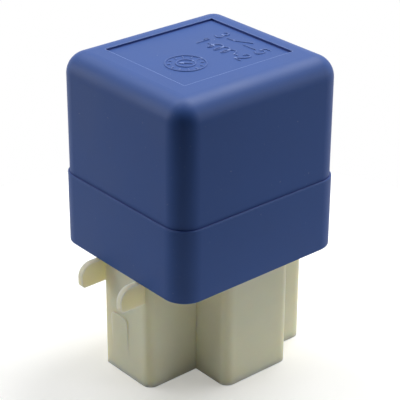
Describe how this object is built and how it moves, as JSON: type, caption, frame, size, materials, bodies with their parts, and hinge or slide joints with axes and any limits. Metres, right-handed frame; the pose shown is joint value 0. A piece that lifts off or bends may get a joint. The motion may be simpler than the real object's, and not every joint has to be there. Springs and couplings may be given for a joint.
{
  "type": "automotive relay",
  "caption": "Blade relay with a stepped moulded cap, a cross-shaped connector shroud with lock fins, and an electromagnet whose hinged armature closes one contact.",
  "frame": {"origin": "on the cover's vertical axis, in the plane of the connector shroud's mouth", "axes": "+Z from the mouth up to the cover's top; -X is the side with the lock fins; the hinge lies along X at the -Y side"},
  "size_m": [0.031, 0.026, 0.044],
  "materials": {
    "cover_plastic": "fine matt moulded",
    "base_nylon": "natural nylon, slightly translucent",
    "bobbin_plastic": "moulded",
    "tinned_brass": "bright tin plate",
    "plated_steel": "zinc plate",
    "rivet_steel": "plain",
    "spring_steel": "drawn wire",
    "enamelled_copper": "enamelled",
    "copper_braid": "bare stranded",
    "spring_bronze": "rolled",
    "contact_silver": "satin",
    "solder": "bright"
  },
  "bodies": {
    "housing": {"cover": "cover_plastic", "base": "base_nylon", "terminal_1": "tinned_brass", "terminal_2": "tinned_brass", "terminal_3": "tinned_brass", "terminal_5": "tinned_brass", "yoke": "plated_steel", "core": "plated_steel", "bobbin": "bobbin_plastic", "coil": "enamelled_copper", "fixed_contact": "contact_silver", "return_spring": "spring_steel", "pigtail": "copper_braid", "terminal_rivet": "rivet_steel", "lead_wire_1": "enamelled_copper", "lead_wire_2": "enamelled_copper", "solder_1": "solder", "solder_2": "solder"},
    "armature": {"armature": "plated_steel", "contact_spring": "spring_bronze", "contact_spring_rivets": "rivet_steel", "moving_contact": "contact_silver"}
  },
  "joints": [
    {"name": "armature_hinge", "type": "hinge", "parent": "housing", "child": "armature", "pos_m": [0, -0.0082, 0.038], "axis": [-1, 0, 0], "range_deg": [0, 3], "stiffness_Nm_per_rad": 0.01, "springref_deg": -8.59, "deforming": ["return_spring", "pigtail"]}
  ]
}
